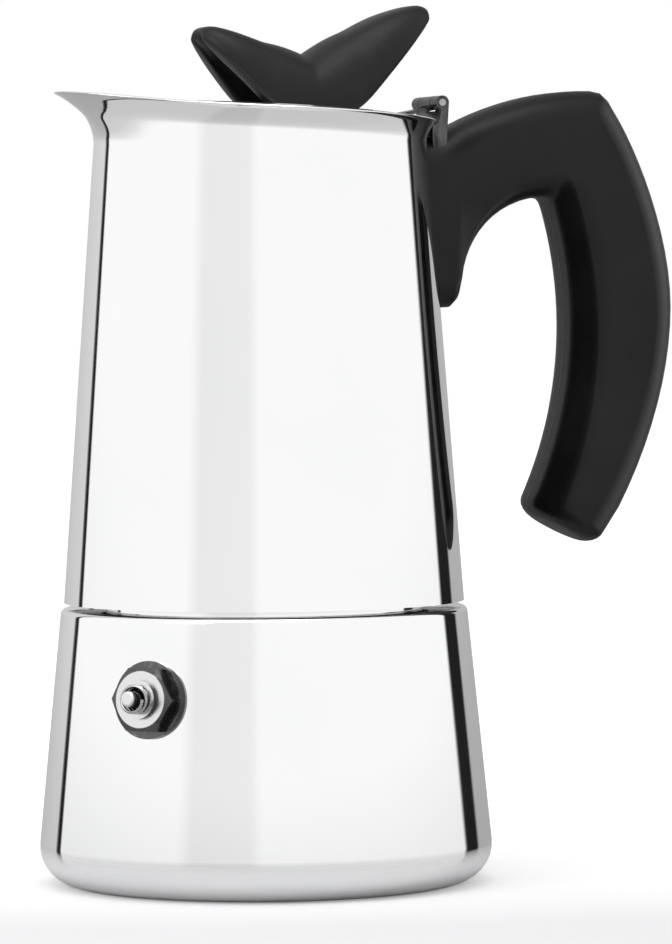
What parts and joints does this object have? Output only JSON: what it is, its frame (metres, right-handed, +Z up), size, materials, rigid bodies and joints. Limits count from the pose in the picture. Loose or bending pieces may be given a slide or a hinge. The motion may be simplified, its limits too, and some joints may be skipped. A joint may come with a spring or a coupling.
{
  "type": "stovetop moka pot",
  "caption": "Conical polished stainless moka pot with screwed boiler and jug, poured lip, hinged lid with winged black knob, hooked black handle and hex safety valve.",
  "frame": {"origin": "centre of the flat base that the pot stands on, on the pot's axis", "axes": "+Z up along the pot's axis, +X toward the handle and the hinge, -X toward the spout"},
  "size_m": [0.1361, 0.0944, 0.1829],
  "materials": {
    "polished_steel": "mirror polished",
    "satin_steel": "satin",
    "fitting_steel": "bright turned",
    "black_plastic": "fine satin grain",
    "seal_rubber": "soft matte"
  },
  "bodies": {
    "boiler": {"boiler": "polished_steel", "valve_boss": "polished_steel", "valve_body": "fitting_steel", "valve_retainer": "fitting_steel", "valve_spring": "fitting_steel", "funnel_basket": "satin_steel", "funnel_stem": "satin_steel", "funnel_filter_plate": "satin_steel"},
    "valve_pin": {"valve_pin": "fitting_steel"},
    "seal": {"gasket": "seal_rubber", "collector_filter_plate": "satin_steel"},
    "collector": {"jug_shell": "polished_steel", "collector_floor": "satin_steel", "threaded_collar": "satin_steel", "chimney": "satin_steel", "chimney_cap": "satin_steel", "handle": "black_plastic", "handle_bracket": "satin_steel", "handle_screw": "fitting_steel", "body_hinge_leaf": "fitting_steel", "hinge_pin": "fitting_steel"},
    "lid": {"lid": "polished_steel", "lid_hinge_leaf": "fitting_steel", "lid_knob": "black_plastic", "knob_washer": "fitting_steel", "knob_screw": "fitting_steel"}
  },
  "joints": [
    {"name": "collector_lift", "type": "slide", "parent": "boiler", "child": "seal", "axis": [0, 0, 1], "range_m": [0, 0.0046]},
    {"name": "collector_turn", "type": "hinge", "parent": "seal", "child": "collector", "pos_m": [0, 0, 0.07], "axis": [0, 0, 1], "range_deg": [0, 540]},
    {"name": "lid_hinge", "type": "hinge", "parent": "collector", "child": "lid", "pos_m": [0.0381, 0, 0.1624], "axis": [0, 1, 0], "range_deg": [0, 80]},
    {"name": "valve_pin_slide", "type": "slide", "parent": "boiler", "child": "valve_pin", "axis": [-0.7809, -0.6168, 0.0986], "range_m": [0, 0.0015], "stiffness_N_per_m": 2000, "springref_m": -0.001, "deforming": ["valve_spring"]}
  ],
  "couplings": [
    {"joint": "collector_lift", "follows": "collector_turn", "m_per_rad": 0.00047746}
  ]
}
